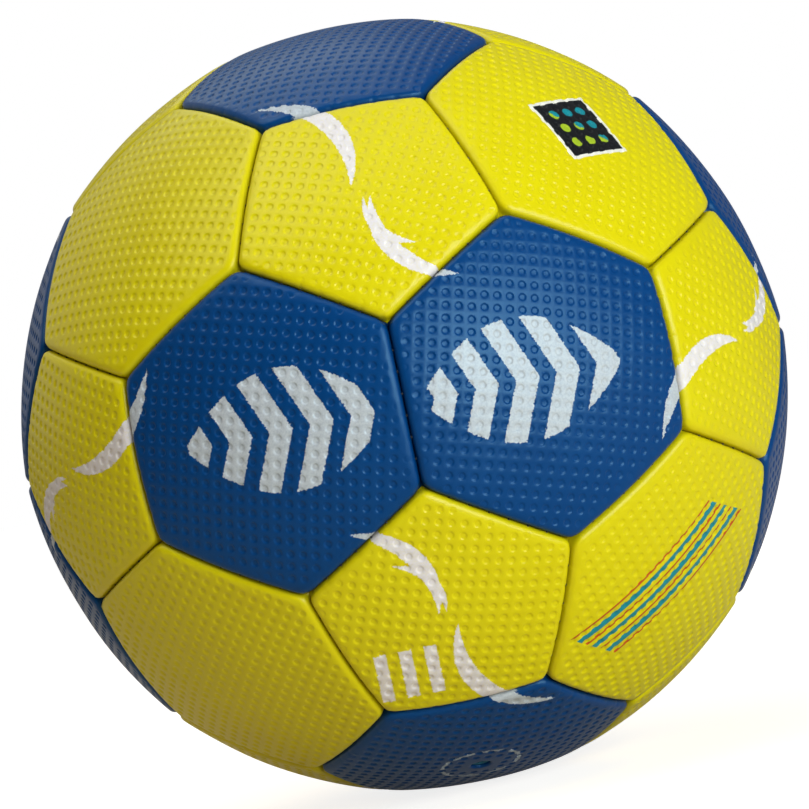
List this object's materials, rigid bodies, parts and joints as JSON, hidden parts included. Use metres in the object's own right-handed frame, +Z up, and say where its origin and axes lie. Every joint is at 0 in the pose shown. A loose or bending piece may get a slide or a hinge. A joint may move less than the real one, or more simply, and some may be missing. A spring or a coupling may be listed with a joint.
{
  "type": "handball",
  "caption": "Inflated ball sewn from hexagon and pentagon panels of dimpled leather in blue and yellow, with a rubber bladder and needle valve.",
  "frame": {"origin": "middle of the ball", "axes": "+Z up and +X right as the picture's front is seen, -Y towards the viewer; each axis runs through the middle of a seam between two blue hexagons, and the front pair's shared seam stands along Z"},
  "size_m": [0.1874, 0.1874, 0.1874],
  "materials": {
    "blue_leather": "satin",
    "yellow_leather": "satin",
    "lining_cloth": "matte",
    "waxed_thread": "satin",
    "bladder_rubber": "matte",
    "patch_cloth": "matte",
    "valve_rubber": "matte",
    "plug_rubber": "matte"
  },
  "bodies": {
    "root": {"hexagon_blue_front_right": "blue_leather", "hexagon_blue_front_left": "blue_leather", "hexagon_blue_back_right": "blue_leather", "hexagon_blue_back_left": "blue_leather", "hexagon_blue_right_upper": "blue_leather", "hexagon_blue_right_lower": "blue_leather", "hexagon_blue_left_upper": "blue_leather", "hexagon_blue_left_lower": "blue_leather", "hexagon_blue_top_front": "blue_leather", "hexagon_blue_top_back": "blue_leather", "hexagon_blue_bottom_front": "blue_leather", "hexagon_blue_bottom_back": "blue_leather", "hexagon_yellow_upper_front_right": "yellow_leather", "hexagon_yellow_upper_front_left": "yellow_leather", "hexagon_yellow_upper_back_right": "yellow_leather", "hexagon_yellow_upper_back_left": "yellow_leather", "hexagon_yellow_lower_front_right": "yellow_leather", "hexagon_yellow_lower_front_left": "yellow_leather", "hexagon_yellow_lower_back_right": "yellow_leather", "hexagon_yellow_lower_back_left": "yellow_leather", "pentagon_front_upper": "yellow_leather", "pentagon_front_lower": "yellow_leather", "pentagon_back_upper": "yellow_leather", "pentagon_back_lower": "yellow_leather", "pentagon_right_front": "yellow_leather", "pentagon_right_back": "yellow_leather", "pentagon_left_front": "yellow_leather", "pentagon_left_back": "yellow_leather", "pentagon_top_right": "yellow_leather", "pentagon_top_left": "yellow_leather", "pentagon_bottom_right": "yellow_leather", "pentagon_bottom_left": "yellow_leather", "blue_linings": "lining_cloth", "yellow_linings": "lining_cloth", "pentagon_linings": "lining_cloth", "seam_thread": "waxed_thread", "bladder": "bladder_rubber", "balance_patch": "bladder_rubber", "valve_patch": "patch_cloth", "valve_housing": "valve_rubber", "valve_plug": "plug_rubber"}
  },
  "joints": []
}
